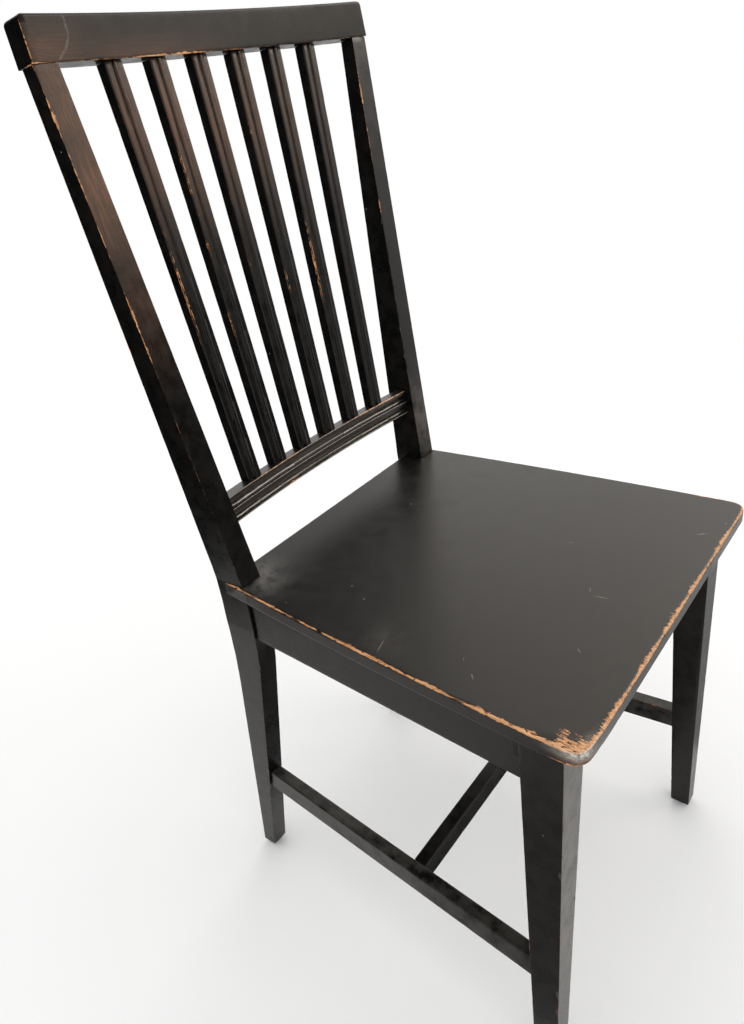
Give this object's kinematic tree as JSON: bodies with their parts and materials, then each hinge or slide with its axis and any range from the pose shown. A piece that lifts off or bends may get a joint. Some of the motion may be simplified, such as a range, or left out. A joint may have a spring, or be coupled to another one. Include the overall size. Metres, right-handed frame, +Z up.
{
  "type": "dining chair",
  "caption": "Slat-back dining chair in worn black paint: flat seat, raked back with beaded slats under a bowed crest rail, tapered legs and an H-stretcher.",
  "frame": {"origin": "on the floor under the middle of the chair's bounding box", "axes": "+Z up, -Y towards the front of the seat, +X towards the sitter's left"},
  "size_m": [0.4476, 0.5076, 0.9977],
  "materials": {
    "seat_paint": "black satin paint on wood, scuffed grey on top and worn to bare wood along the edges",
    "frame_paint": "black satin paint on wood, rubbed brown and chipped to bare wood on the edges",
    "screw_steel": "plain steel",
    "glide_plastic": "plain black plastic"
  },
  "bodies": {
    "root": {"seat": "seat_paint", "rear_leg_left": "frame_paint", "front_leg_left": "frame_paint", "apron_left": "frame_paint", "side_stretcher_left": "frame_paint", "rear_leg_right": "frame_paint", "front_leg_right": "frame_paint", "apron_right": "frame_paint", "side_stretcher_right": "frame_paint", "apron_front": "frame_paint", "apron_back": "frame_paint", "cross_stretcher": "frame_paint", "crest_rail": "frame_paint", "lower_back_rail": "frame_paint", "back_slat_1": "frame_paint", "back_slat_2": "frame_paint", "back_slat_3": "frame_paint", "back_slat_4": "frame_paint", "back_slat_5": "frame_paint", "back_slat_6": "frame_paint", "corner_block_front_left": "frame_paint", "foot_glide_front_left": "glide_plastic", "block_screw_front_left_side": "screw_steel", "block_screw_front_left_end": "screw_steel", "seat_screw_front_left": "screw_steel", "corner_block_front_right": "frame_paint", "foot_glide_front_right": "glide_plastic", "block_screw_front_right_side": "screw_steel", "block_screw_front_right_end": "screw_steel", "seat_screw_front_right": "screw_steel", "corner_block_rear_left": "frame_paint", "foot_glide_rear_left": "glide_plastic", "block_screw_rear_left_side": "screw_steel", "block_screw_rear_left_end": "screw_steel", "seat_screw_rear_left": "screw_steel", "corner_block_rear_right": "frame_paint", "foot_glide_rear_right": "glide_plastic", "block_screw_rear_right_side": "screw_steel", "block_screw_rear_right_end": "screw_steel", "seat_screw_rear_right": "screw_steel"}
  },
  "joints": []
}
